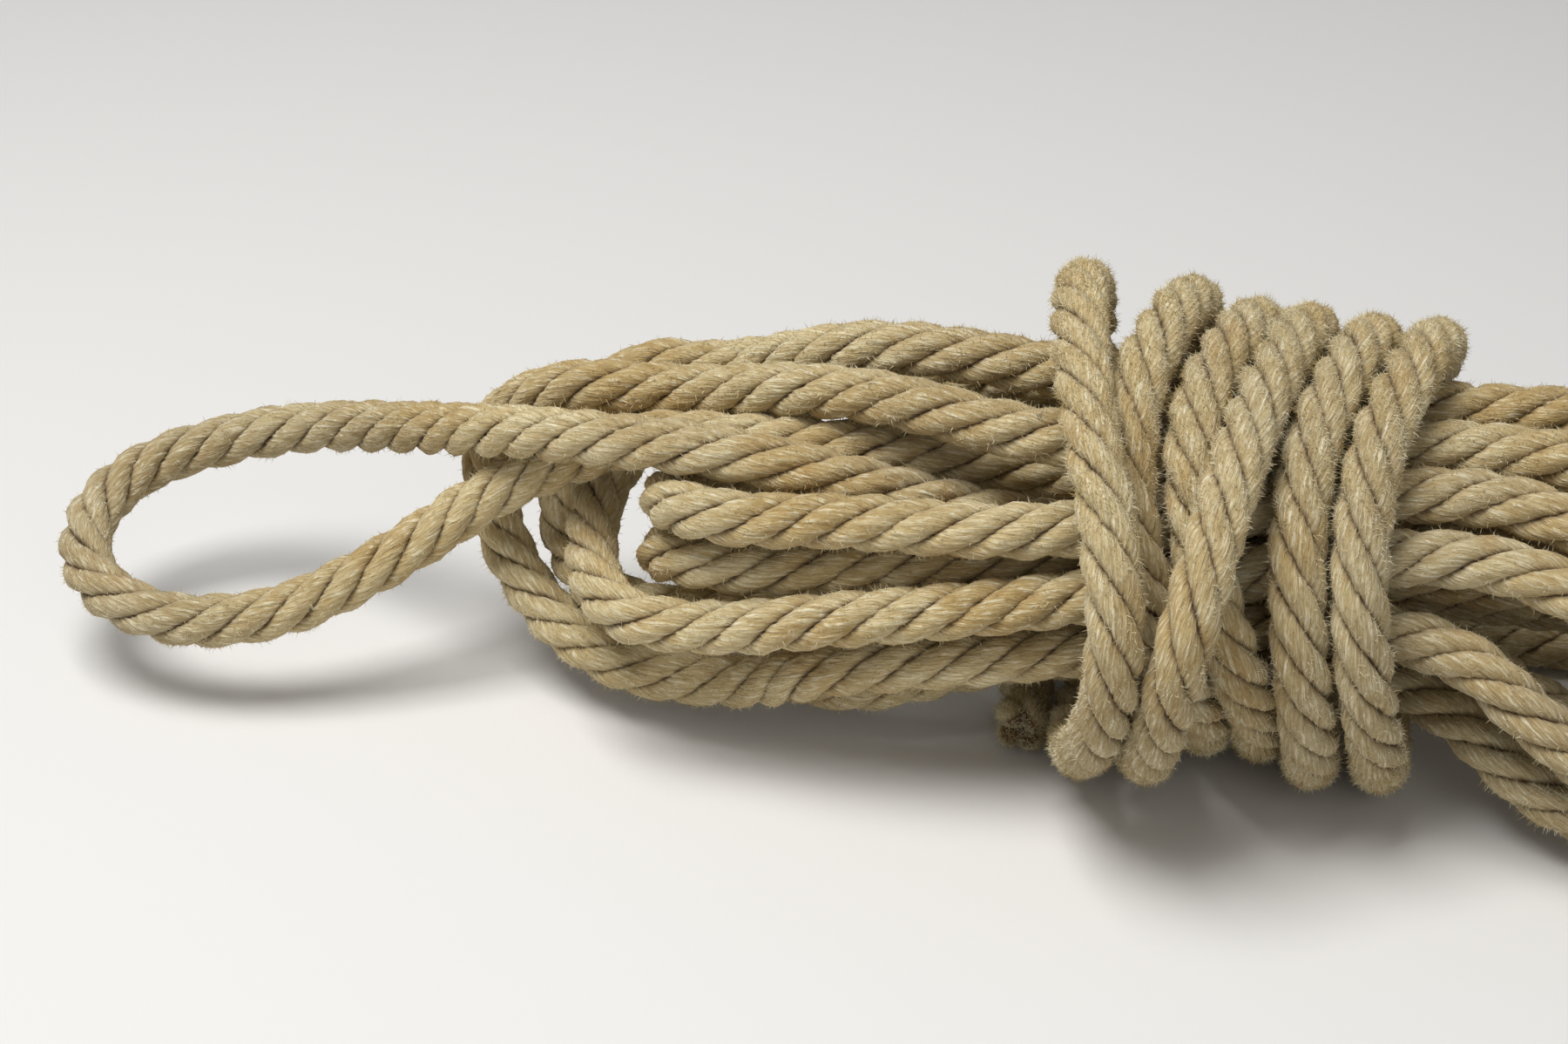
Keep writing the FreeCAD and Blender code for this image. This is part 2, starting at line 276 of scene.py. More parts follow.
    def quarter_points(self, quarter: int, start: tuple, end: tuple,
                       lean_start: float, lean_end: float, tuck: float) -> list[Vector]:
        """Points along a quarter of a turn, its far end left out.

        Args:
            quarter: which quarter it is, from the bottom up the front.
            start: the place that it starts from, as x, y and z.
            end: the place that it goes to.
            lean_start: how x changes along the quarter at its start.
            lean_end: the same at its end.
            tuck: the share of the radius by which it is drawn in.

        Returns:
            The control points; x follows a cubic between both ends.
        """
        (x0, y0, z0), (x1, y1, z1) = start[:3], end[:3]
        centre = (y0, z1) if quarter % 2 == 0 else (y1, z0)
        made = []
        for step in range(self.steps_in_quarter):
            u = step / self.steps_in_quarter
            swing = math.pi / 2 * u
            swell = self.turn_swell - (tuck if step else 0.0)
            fade, rise = swell * math.cos(swing), swell * math.sin(swing)
            if quarter % 2 == 0:
                y = centre[0] + (y1 - centre[0]) * rise
                z = centre[1] + (z0 - centre[1]) * fade
            else:
                y = centre[0] + (y0 - centre[0]) * fade
                z = centre[1] + (z1 - centre[1]) * rise
            x = ((2 * u**3 - 3 * u**2 + 1) * x0 + (u**3 - 2 * u**2 + u) * lean_start
                 + (3 * u**2 - 2 * u**3) * x1 + (u**3 - u**2) * lean_end)
            made.append(Vector((x, y, z)))
        return made


# A small maker of node trees


@dataclass(frozen=True)
class Grain:
    """A noise texture: its scale over a metre, detail, roughness and distortion."""

    scale: float
    detail: float = 2.0
    rough: float = 0.5
    bent: float = 0.0


@dataclass(frozen=True)
class Span:
    """A range of numbers, and the range that it is smoothly moved to."""

    low: float
    high: float
    to_low: float = 0.0
    to_high: float = 1.0


class Nodes:
    """Builds a node tree from expressions, for geometry and for materials."""

    COLUMN = 180
    ROW = -220
    IN_ROW = 12

    def __init__(self, tree: bpy.types.NodeTree) -> None:
        """Takes the tree that it fills."""
        self.tree = tree
        self.count = 0

    def add(self, kind: str, inputs: Optional[dict] = None, **settings: Any) -> bpy.types.Node:
        """Adds a node, sets its properties and feeds its inputs.

        Args:
            kind: the node's type name.
            inputs: values or sockets, by the input's name or number.
            **settings: properties of the node.

        Returns:
            The new node.
        """
        node = self.tree.nodes.new(kind)
        row, column = divmod(self.count, self.IN_ROW)
        node.location = (self.COLUMN * column, self.ROW * row)
        self.count += 1
        for name, value in settings.items():
            setattr(node, name, value)
        for key, value in (inputs or {}).items():
            self.feed(node.inputs[key], value)
        return node

    def feed(self, socket: Socket, value: Any) -> None:
        """Links a socket or sets a plain value."""
        if isinstance(value, Socket):
            self.tree.links.new(value, socket)
        else:
            socket.default_value = value

    def maths(self, operation: str, a: Any, b: Any = 0.0, c: Any = 0.0,
              clamp: bool = False) -> Socket:
        """One sum on numbers, given as sockets or values."""
        node = self.add("ShaderNodeMath", {0: a, 1: b, 2: c}, operation=operation, use_clamp=clamp)
        return node.outputs[0]

    def plus(self, a: Any, b: Any) -> Socket:
        """The sum of two numbers."""
        return self.maths("ADD", a, b)

    def minus(self, a: Any, b: Any, clamp: bool = False) -> Socket:
        """One number less another."""
        return self.maths("SUBTRACT", a, b, clamp=clamp)

    def times(self, a: Any, b: Any) -> Socket:
        """The product of two numbers."""
        return self.maths("MULTIPLY", a, b)

    def vector(self, operation: str, a: Any, b: Any = (0, 0, 0)) -> Socket:
        """One sum on vectors that gives a vector."""
        return self.add("ShaderNodeVectorMath", {0: a, 1: b}, operation=operation).outputs["Vector"]

    def measure(self, operation: str, a: Any, b: Any = (0, 0, 0)) -> Socket:
        """One sum on vectors that gives a number."""
        return self.add("ShaderNodeVectorMath", {0: a, 1: b}, operation=operation).outputs["Value"]

    def scaled(self, a: Any, by: Any) -> Socket:
        """A vector times a number."""
        node = self.add("ShaderNodeVectorMath", {0: a, "Scale": by}, operation="SCALE")
        return node.outputs["Vector"]

    def xyz(self, x: Any, y: Any, z: Any) -> Socket:
        """A vector from three numbers."""
        return self.add("ShaderNodeCombineXYZ", {0: x, 1: y, 2: z}).outputs[0]

    def parts(self, a: Any) -> tuple[Socket, ...]:
        """The three numbers of a vector."""
        return tuple(self.add("ShaderNodeSeparateXYZ", {0: a}).outputs)

    def above_floor(self, place: Any) -> Socket:
        """A place, lifted to the floor where it is below it."""
        x, y, z = self.parts(place)
        return self.xyz(x, y, self.maths("MAXIMUM", z, 0.0))

    def ramp(self, value: Any, span: Span) -> Socket:
        """A number moved smoothly from one range to another, and kept in it."""
        return self.add("ShaderNodeMapRange", {
            "Value": value, "From Min": span.low, "From Max": span.high,
            "To Min": span.to_low, "To Max": span.to_high,
        }, interpolation_type="SMOOTHSTEP").outputs[0]

    def noise(self, at: Any, grain: Grain) -> Socket:
        """The strength of a noise texture."""
        return self.add("ShaderNodeTexNoise", {
            "Vector": at, "Scale": grain.scale, "Detail": grain.detail,
            "Roughness": grain.rough, "Distortion": grain.bent,
        }).outputs[0]

    def mixed(self, share: Any, a: Any, b: Any, blend: str = "MIX") -> Socket:
        """Two colours mixed."""
        node = self.add("ShaderNodeMix", data_type="RGBA", blend_type=blend)
        self.feed(node.inputs[0], share)
        self.feed(node.inputs[6], a)
        self.feed(node.inputs[7], b)
        return node.outputs[2]


class Mark(Enum):
    """Names of the attributes that the pieces carry."""

    ALONG = "along"
    SIDE = "side"
    FIBRE = "fibre"
    PROUD = "proud"
    RIDGE = "ridge"


# Finishes


def rgb(red: float, green: float, blue: float) -> tuple[float, float, float, float]:
    """A display colour from 0 to 255 as a linear colour with alpha."""
    def linear(value: float) -> float:
        """One channel, from display to linear."""
        value /= 255
        return value / 12.92 if value <= 0.04045 else ((value + 0.055) / 1.055) ** 2.4
    return (linear(red), linear(green), linear(blue), 1.0)


def bare_material(name: str) -> tuple[bpy.types.Material, Nodes]:
    """A material with an empty node tree, and the maker that fills it."""
    material = bpy.data.materials.new(name)
    material.use_nodes = True
    material.node_tree.nodes.clear()
    return material, Nodes(material.node_tree)


@dataclass(frozen=True)
class RopeFinish:
    """The matt, dry fibre of the rope: cream yarns, grime, painted shade in the hollows and painted
    highlights on the fibres.
    """

    name: str = "rope_fibre"
    pale: tuple = rgb(220, 206, 165)
    tan: tuple = rgb(198, 175, 125)
    grey: tuple = rgb(184, 171, 139)
    # Painted shade: a dark brown that stands for the shade deep in the hollows between the strands.
    groove_shade: tuple = rgb(92, 65, 32)
    rust: tuple = rgb(182, 145, 88)
    # A painted highlight: near-white streaks where light catches the fibres.
    glint: tuple = rgb(236, 228, 200)
    speck: tuple = rgb(58, 60, 62)
    # Streaks and tufts are drawn out along the yarns by these shares.
    streak_drawn: tuple = (1.0, 1.0, 0.2)
    streak: Grain = Grain(2400.0, 3.0, 0.65, 0.7)
    tuft_drawn: tuple = (1.0, 1.0, 0.4)
    tuft: Grain = Grain(850.0, 3.0, 0.65, 0.5)
    patch: Grain = Grain(42.0, 3.0, 0.55)
    tan_patches: Span = Span(0.35, 0.68)
    cloud: Grain = Grain(13.0)
    grey_clouds: Span = Span(0.42, 0.66, 0.0, 0.6)
    stain: Grain = Grain(95.0)
    rust_stains: Span = Span(0.60, 0.74, 0.0, 0.35)
    dark_streaks: Span = Span(0.34, 0.58, 0.45, 0.0)
    dark_tufts: Span = Span(0.38, 0.56, 0.45, 0.0)
    # Painted highlights: where streaks and tufts are both strong, the fibres are mixed towards the
    # near-white glint.
    painted_glints: Span = Span(0.27, 0.38, 0.0, 0.6)
    # Painted shade: the valleys between the yarns are darkened with tan.
    yarn_gap_shade: Span = Span(0.0, 0.7, 0.4, 0.0)
    gap_tufts: Span = Span(0.4, 0.6)
    # Painted shade: places deep between the strands, where shade falls, are mixed towards the dark
    # brown.
    hollow_shade: Span = Span(0.62, 0.86, 1.0, 0.0)
    hollow_shade_share: float = 0.95
    grime: Grain = Grain(520.0, 3.0, 0.7)
    grime_specks: Span = Span(0.63, 0.70)
    soil: Grain = Grain(60.0)
    soiled: Span = Span(0.48, 0.62)
    # Grime is only on the tops of the turns, at these heights in metres.
    soiled_high: Span = Span(0.055, 0.085)
    grime_share: float = 0.7
    streak_lift: float = 0.6
    bump_strength: float = 1.0
    bump_depth: float = 0.0007
    roughness: float = 0.92
    specular: float = 0.18
    sheen: float = 0.08
    sheen_roughness: float = 0.6

    def make(self) -> bpy.types.Material:
        """Builds the material.

        Returns:
            A material that reads the strands' own attributes.
        """
        material, n = bare_material(self.name)
        place = n.add("ShaderNodeTexCoord").outputs["Object"]
        fibre = n.add("ShaderNodeAttribute", attribute_name=Mark.FIBRE.value).outputs["Vector"]
        proud = n.add("ShaderNodeAttribute", attribute_name=Mark.PROUD.value).outputs["Fac"]
        ridge = n.add("ShaderNodeAttribute", attribute_name=Mark.RIDGE.value).outputs["Fac"]
        streak = n.noise(n.vector("MULTIPLY", fibre, self.streak_drawn), self.streak)
        tuft = n.noise(n.vector("MULTIPLY", fibre, self.tuft_drawn), self.tuft)
        # Painted shade in the valleys between the yarns, broken up by the tufts.
        valley_shade = n.times(n.ramp(ridge, self.yarn_gap_shade), n.ramp(tuft, self.gap_tufts))
        layers = (
            (n.ramp(n.noise(place, self.patch), self.tan_patches), self.tan, "MIX"),
            (n.ramp(n.noise(place, self.cloud), self.grey_clouds), self.grey, "MIX"),
            (n.ramp(n.noise(place, self.stain), self.rust_stains), self.rust, "MIX"),
            (n.ramp(streak, self.dark_streaks), self.tan, "MULTIPLY"),
            (n.ramp(tuft, self.dark_tufts), self.tan, "MULTIPLY"),
            # Painted highlights on the fibres.
            (n.ramp(n.times(streak, tuft), self.painted_glints), self.glint, "MIX"),
            # Painted shade in the yarn valleys.
            (valley_shade, self.tan, "MULTIPLY"),
            # Painted shade in the hollows between the strands.
            (n.times(n.ramp(proud, self.hollow_shade), self.hollow_shade_share), self.groove_shade, "MIX"),
            (self.dirt(n, place), self.speck, "MIX"),
        )
        base = self.pale
        for share, colour, blend in layers:
            base = n.mixed(share, base, colour, blend)
        bump = n.add("ShaderNodeBump", {
            "Height": n.plus(n.times(streak, self.streak_lift), tuft),
            "Strength": self.bump_strength, "Distance": self.bump_depth,
        })
        shader = n.add("ShaderNodeBsdfPrincipled", {
            "Base Color": base, "Roughness": self.roughness, "Normal": bump.outputs[0],
            "Specular IOR Level": self.specular, "Sheen Weight": self.sheen,
            "Sheen Roughness": self.sheen_roughness,
        })
        n.add("ShaderNodeOutputMaterial", {0: shader.outputs[0]})
        return material

    def dirt(self, n: Nodes, place: Socket) -> Socket:
        """How much of each place is covered by dark specks."""
        specks = n.ramp(n.noise(place, self.grime), self.grime_specks)
        high = n.ramp(n.parts(place)[2], self.soiled_high)
        soiled = n.ramp(n.noise(place, self.soil), self.soiled)
        return n.times(n.times(specks, soiled), n.times(high, self.grime_share))


@dataclass(frozen=True)
class FuzzFinish:
    """The loose fibre ends that stand out of the yarns."""

    name: str = "loose_fibre"
    pale: tuple = rgb(216, 206, 172)
    dark: tuple = rgb(182, 162, 114)
    patch: Grain = Grain(160.0)
    dark_patches: Span = Span(0.38, 0.62)
    roughness: float = 0.8
    specular: float = 0.25
    sheen: float = 0.2

    def make(self) -> bpy.types.Material:
        """Builds the material."""
        material, n = bare_material(self.name)
        place = n.add("ShaderNodeTexCoord").outputs["Object"]
        share = n.ramp(n.noise(place, self.patch), self.dark_patches)
        shader = n.add("ShaderNodeBsdfPrincipled", {
            "Base Color": n.mixed(share, self.pale, self.dark), "Roughness": self.roughness,
            "Specular IOR Level": self.specular, "Sheen Weight": self.sheen,
        })
        n.add("ShaderNodeOutputMaterial", {0: shader.outputs[0]})
        return material


@dataclass(frozen=True)
class FloorFinish:
    """A plain pale floor."""

    name: str = "pale_floor"
    colour: tuple = rgb(226, 224, 220)
    roughness: float = 0.9
    specular: float = 0.1

    def make(self) -> bpy.types.Material:
        """Builds the material."""
        material = bpy.data.materials.new(self.name)
        material.use_nodes = True
        shader = material.node_tree.nodes["Principled BSDF"]
        shader.inputs["Base Color"].default_value = self.colour
        shader.inputs["Roughness"].default_value = self.roughness
        shader.inputs["Specular IOR Level"].default_value = self.specular
        return material


# The laid strands


@dataclass(frozen=True)
class Lay:
    """How the rope is laid, in millimetres and turns; the grains are over a metre."""

    strands: int = 4
    lay_length: float = 36.8
    way: int = -1
    offset: float = 3.05
    radial: float = 2.4
    tangential: float = 2.45
    yarns: int = 12
    yarn_depth: float = 0.05
    roughness: float = 0.55
    yarn_lean: float = 0.14
    ring_step: float = 1.5
    end_round: float = 3.0
    # Where a stretch meets the next one, its strands are cut square.
    cut_round: float = 0.001
    # A strand swings about its even lay by up to half of this many radians.
    wander: Grain = Grain(26.0, 1.0)
    wander_angle: float = 0.34
    # The yarns are thicker and thinner by up to half of this share.
    uneven: Grain = Grain(90.0, 1.0)
    uneven_share: float = 0.20
    tuft: Grain = Grain(620.0, 2.0, 0.6)
    tuft_drawn: tuple = (1.0, 1.0, 0.6)

    def rope_turn(self) -> float:
        """Radians that the strands turn round the rope in a metre."""
        return self.way * 2 * math.pi / (self.lay_length * MM)

    def yarn_turn(self) -> float:
        """Radians that a yarn turns in the frame of its strand in a metre."""
        turn = self.rope_turn()
        lean = self.way * self.yarn_lean / (self.tangential * MM)
        return -(turn * self.offset / self.tangential + lean) - turn


class GeometryTree:
    """A geometry node tree that makes one mesh from another and dresses it."""

    NAME = ""
    INPUTS: tuple[tuple[str, str], ...] = ()

    def __init__(self) -> None:
        """Makes the tree and its inputs, and fills it."""
        self.tree = bpy.data.node_groups.new(self.NAME, "GeometryNodeTree")
        face = self.tree.interface
        face.new_socket("Geometry", in_out="INPUT", socket_type="NodeSocketGeometry")
        for name, kind in self.INPUTS:
            face.new_socket(name, in_out="INPUT", socket_type="NodeSocket" + kind)
        face.new_socket("Finish", in_out="INPUT", socket_type="NodeSocketMaterial")
        face.new_socket("Geometry", in_out="OUTPUT", socket_type="NodeSocketGeometry")
        n = Nodes(self.tree)
        given = n.add("NodeGroupInput").outputs
        dressed = n.add("GeometryNodeSetMaterial", {
            0: self.made(n, given), "Material": given["Finish"],
        })
        n.add("NodeGroupOutput", {0: dressed.outputs[0]})

    def made(self, n: Nodes, given: Any) -> Socket:
        """The geometry that the tree makes from its inputs."""
        raise NotImplementedError


class StrandTree(GeometryTree):
    """The node tree that lays strands along a route."""

    NAME = "laid_strands"
    INPUTS = (
        ("Lay Turn", "Float"), ("Yarn Turn", "Float"), ("Strand Offset", "Float"),
        ("Radial Radius", "Float"), ("Tangential Radius", "Float"), ("Yarns", "Int"),
        ("Yarn Depth", "Float"), ("Roughness", "Float"), ("Ring Step", "Float"),
        ("End Round", "Float"),
    )
    # These keep the noises of one strand apart from those of the next.
    WANDER_SHIFT = 3.1
    YARN_SHIFT = 7.7
    FIBRE_SHIFT = 37.0
    # More than a turn, so that the yarns are counted from above zero.
    COUNT_FROM = 7.0
    # A rounding that is shorter than this many millimetres closes nothing.
    END_SPARE = 0.01

    def __init__(self, lay: Lay) -> None:
        """Builds the tree for that lay."""
        self.lay = lay
        super().__init__()

    def made(self, n: Nodes, given: Any) -> Socket:
        """All the strands of the rope along the route."""
        curve = n.add("GeometryNodeMeshToCurve", {0: given["Geometry"]}).outputs[0]
        length = n.add("GeometryNodeCurveLength", {0: curve}).outputs[0]
        rings = n.maths("CEIL", n.maths("DIVIDE", length, given["Ring Step"]))
        joined = n.add("GeometryNodeJoinGeometry")
        for index in range(self.lay.strands):
            strand = self.strand(n, given, curve, length, rings, index)
            self.tree.links.new(strand, joined.inputs[0])
        return n.add("GeometryNodeRealizeInstances", {0: joined.outputs[0]}).outputs[0]

    def sampled(self, n: Nodes, curve: Any, share: Any, mark: Mark, kind: str) -> bpy.types.Node:
        """Samples the route, and one of its attributes, at a share of its length."""
        value = n.add("GeometryNodeInputNamedAttribute", {0: mark.value}, data_type=kind).outputs[0]
        node = n.add("GeometryNodeSampleCurve", data_type=kind, mode="FACTOR")
        n.feed(node.inputs["Curves"], curve)
        n.feed(node.inputs["Factor"], share)
        n.feed(node.inputs["Value"], value)
        return node

    def strand(self, n: Nodes, given: Any, curve: Any, length: Any, rings: Any,
               index: int) -> Socket:
        """One strand: a closed tube whose mesh lines follow the yarns.

        Args:
            n: the tree's maker.
            given: the group's inputs.
            curve: the route.
            length: the route's length.
            rings: how many rings the tube has.
            index: which strand it is.

        Returns:
            The strand's geometry.
        """
        lay = self.lay
        # Two sides for each yarn, and a unit tube round the z axis to start from.
        tube = n.add("GeometryNodeMeshCylinder", {
            "Vertices": n.times(given["Yarns"], 2.0), "Side Segments": rings,
            "Radius": 1.0, "Depth": 1.0,
        }, fill_type="TRIANGLE_FAN")
        x, y, z = n.parts(n.add("GeometryNodeInputPosition").outputs[0])
        share = n.maths("ADD", z, 0.5, clamp=True)
        around = n.maths("ARCTAN2", y, x)
        middle = n.maths("MINIMUM", n.measure("LENGTH", n.xyz(x, y, 0.0)), 1.0)

        # The route's own axes at each ring.
        side_at = self.sampled(n, curve, share, Mark.SIDE, "FLOAT_VECTOR")
        along = self.sampled(n, curve, share, Mark.ALONG, "FLOAT").outputs["Value"]
        tangent = n.vector("NORMALIZE", side_at.outputs["Tangent"])
        side = side_at.outputs["Value"]
        slant = n.scaled(tangent, n.measure("DOT_PRODUCT", side, tangent))
        side = n.vector("NORMALIZE", n.vector("SUBTRACT", side, slant))
        other = n.vector("CROSS_PRODUCT", tangent, side)

        # The strand's axes, which turn round the route.
        wander = n.noise(n.xyz(along, index * self.WANDER_SHIFT, 0.0), lay.wander)
        wander = n.times(n.minus(wander, 0.5), lay.wander_angle)
        swing = n.maths("MULTIPLY_ADD", along, given["Lay Turn"], index * 2 * math.pi / lay.strands)
        swing = n.plus(swing, wander)
        cos, sin = n.maths("COSINE", swing), n.maths("SINE", swing)
        out = n.vector("ADD", n.scaled(side, cos), n.scaled(other, sin))
        sideways = n.vector("SUBTRACT", n.scaled(other, cos), n.scaled(side, sin))
        lead = n.times(given["Lay Turn"], given["Strand Offset"])
        heading = n.vector("NORMALIZE", n.vector("ADD", tangent, n.scaled(sideways, lead)))
        flank = n.vector("CROSS_PRODUCT", heading, out)

        # The yarns and tufts, which make the tube thicker and thinner.
        turn = n.maths("MULTIPLY_ADD", along, given["Yarn Turn"], around)
        ridge = n.times(around, n.times(given["Yarns"], 0.5))
        ridge = n.maths("ABSOLUTE", n.maths("SINE", ridge))
        in_radian = n.times(given["Yarns"], 1 / (2 * math.pi))
        yarn = n.maths("FLOOR", n.times(n.plus(around, self.COUNT_FROM), in_radian))
        uneven = n.noise(n.xyz(along, yarn, index * self.YARN_SHIFT), lay.uneven)
        fibre = n.xyz(n.times(n.maths("COSINE", around), given["Radial Radius"]),
                      n.times(n.maths("SINE", around), given["Radial Radius"]),
                      n.plus(along, index * self.FIBRE_SHIFT))
        tuft = n.noise(n.vector("MULTIPLY", fibre, lay.tuft_drawn), lay.tuft)
        swell = n.maths("MULTIPLY_ADD", n.minus(uneven, 0.5), lay.uneven_share, 1.0)
        swell = n.maths("MULTIPLY_ADD", n.minus(tuft, 0.5), given["Roughness"], swell)
        swell = n.minus(swell, n.times(given["Yarn Depth"], n.minus(1.0, ridge)))

        # The rounding at the far end.
        from_end = n.maths("MULTIPLY_ADD", n.minus(1.0, share), length, self.END_SPARE * MM)
        blunt = n.minus(1.0, n.maths("DIVIDE", from_end, given["End Round"]), clamp=True)
        blunt = n.maths("SQRT", n.minus(1.0, n.times(blunt, blunt), clamp=True))
        swell = n.times(n.times(swell, middle), blunt)

        radial = n.times(n.times(n.maths("COSINE", turn), swell), given["Radial Radius"])
        tangential = n.times(n.times(n.maths("SINE", turn), swell), given["Tangential Radius"])
        arm = n.vector("ADD", n.scaled(out, n.plus(radial, given["Strand Offset"])),
                       n.scaled(flank, tangential))
        placed = n.above_floor(n.vector("ADD", side_at.outputs["Position"], arm))
        proud = n.maths("DIVIDE", n.measure("LENGTH", arm), ROPE_D / 2 * MM)
        mesh = tube.outputs["Mesh"]
        for mark, kind, value in ((Mark.FIBRE, "FLOAT_VECTOR", fibre), (Mark.PROUD, "FLOAT", proud),
                                  (Mark.RIDGE, "FLOAT", ridge)):
            mesh = n.add("GeometryNodeStoreNamedAttribute", {
                "Geometry": mesh, "Name": mark.value, "Value": value,
            }, data_type=kind, domain="POINT").outputs[0]
        moved = n.add("GeometryNodeSetPosition", {"Geometry": mesh, "Position": placed})
        # The ends stay flat, so that the strands of two stretches meet without a seam.
        smooth = n.add("GeometryNodeSetShadeSmooth", {
            "Geometry": moved.outputs[0], "Selection": tube.outputs["Side"],
        })
        return smooth.outputs[0]


@dataclass(frozen=True)
class Fray:
    """Where the loose fibres stand and how long they are; heights are in metres."""

    patch: Grain = Grain(70.0)
    patchy: Span = Span(0.35, 0.65, 0.5, 1.5)
    # The tops and the bottoms of the turns are worn the most.
    worn_high: Span = Span(0.066, 0.084)
    worn_low: Span = Span(0.012, 0.030, 1.0, 0.0)
    worn_least: float = 0.6
    # How far from the free end the rope is frayed all through.
    worn_end: Span = Span(0.005, 0.012, 3.5, 0.0)
    whole_end: Span = Span(0.005, 0.010, 1.0, 0.0)
    # Fibres stand on the outer part of the rope, by the share of its radius.
    outer: Span = Span(0.70, 0.92)
    # Most fibres are short and a few are long.
    short_power: float = 2.2
    length_spread: float = 1.5
    length_least: float = 0.35


class FuzzTree(GeometryTree):
    """The node tree that sets short loose fibres on the strands."""

    NAME = "loose_fibres"
    INPUTS = (
        ("Density", "Float"), ("Length", "Float"), ("Thickness", "Float"),
        ("Wildness", "Float"), ("Frayed At", "Vector"), ("Seed", "Int"),
    )

    def __init__(self, fray: Fray) -> None:
        """Builds the tree for that fray."""
        self.fray = fray
        super().__init__()

    def made(self, n: Nodes, given: Any) -> Socket:
        """A thin cone for every fibre, on the strands that the tree is given."""
        fray = self.fray
        spread = n.add("GeometryNodeDistributePointsOnFaces", {
            "Mesh": given["Geometry"], "Density": self.density(n, given), "Seed": given["Seed"],
        }, distribute_method="RANDOM")
        stray = n.add("FunctionNodeRandomValue", {
            0: (-1, -1, -1), 1: (1, 1, 1), "Seed": given["Seed"],
        }, data_type="FLOAT_VECTOR").outputs[0]
        way = n.vector("ADD", spread.outputs["Normal"], n.scaled(stray, given["Wildness"]))
        turned = n.add("FunctionNodeAlignRotationToVector", {"Vector": way}, axis="Z")
        long = n.add("FunctionNodeRandomValue", {2: 0.0, 3: 1.0, "Seed": given["Seed"]},
                     data_type="FLOAT").outputs[1]
        long = n.maths("MULTIPLY_ADD", n.maths("POWER", long, fray.short_power),
                       fray.length_spread, fray.length_least)
        spike = n.add("GeometryNodeMeshCone", {
            "Vertices": 3, "Side Segments": 1, "Radius Top": 0.0,
            "Radius Bottom": given["Thickness"], "Depth": given["Length"],
        }, fill_type="NGON").outputs["Mesh"]
        placed = n.add("GeometryNodeInstanceOnPoints", {
            "Points": spread.outputs["Points"], "Instance": spike,
            "Rotation": turned.outputs[0], "Scale": n.xyz(1.0, 1.0, long),
        })
        real = n.add("GeometryNodeRealizeInstances", {0: placed.outputs[0]})
        at = n.add("GeometryNodeInputPosition").outputs[0]
        return n.add("GeometryNodeSetPosition", {
            "Geometry": real.outputs[0], "Position": n.above_floor(at),
        }).outputs[0]

    def density(self, n: Nodes, given: Any) -> Socket:
        """How many fibres stand on a square metre at each place."""
        fray = self.fray
        proud = n.add("GeometryNodeInputNamedAttribute", {0: Mark.PROUD.value},
                      data_type="FLOAT").outputs[0]
        place = n.add("GeometryNodeInputPosition").outputs[0]
        height = n.parts(place)[2]
        from_end = n.measure("DISTANCE", place, given["Frayed At"])
        worn = n.plus(n.ramp(height, fray.worn_high), n.ramp(height, fray.worn_low))
        worn = n.plus(n.plus(worn, fray.worn_least), n.ramp(from_end, fray.worn_end))
        outside = n.maths("MAXIMUM", n.ramp(proud, fray.outer), n.ramp(from_end, fray.whole_end))
        patch = n.ramp(n.noise(place, fray.patch), fray.patchy)
        return n.times(n.times(given["Density"], n.times(outside, patch)), worn)


def applied(source: bpy.types.Object, tree: bpy.types.NodeTree, values: dict[str, Any],
            name: str) -> bpy.types.Object:
    """Runs a node tree on an object's mesh and keeps the result as a plain mesh.

    Args:
        source: the object whose mesh the tree starts from.
        tree: the geometry node tree.
        values: the tree's inputs, by name.
        name: the new object's name.

    Returns:
        A new object at the origin, with no modifier.
    """
    work = bpy.data.objects.new(name + "_work", source.data)
    bpy.context.scene.collection.objects.link(work)
    modifier = work.modifiers.new(tree.name, "NODES")
    modifier.node_group = tree
    for item in tree.interface.items_tree:
        if item.in_out == "INPUT" and item.name in values:
            modifier[item.identifier] = values[item.name]
    work.update_tag()
    graph = bpy.context.evaluated_depsgraph_get()
    mesh = bpy.data.meshes.new_from_object(work.evaluated_get(graph), depsgraph=graph)
    mesh.name = name
    bpy.data.objects.remove(work)
    made = bpy.data.objects.new(name, mesh)
    bpy.context.scene.collection.objects.link(made)
    return made


# The rope


@dataclass
class Stretch:
    """One stretch of the rope, from one control point of the route to another."""

    name: str
    nodes: tuple[str, ...]
    controls: list[Vector]
    far_end: str = "object"
    turned: bool = False
    points: Optional[list[Vector]] = None
    start: int = 0
    end: int = 0


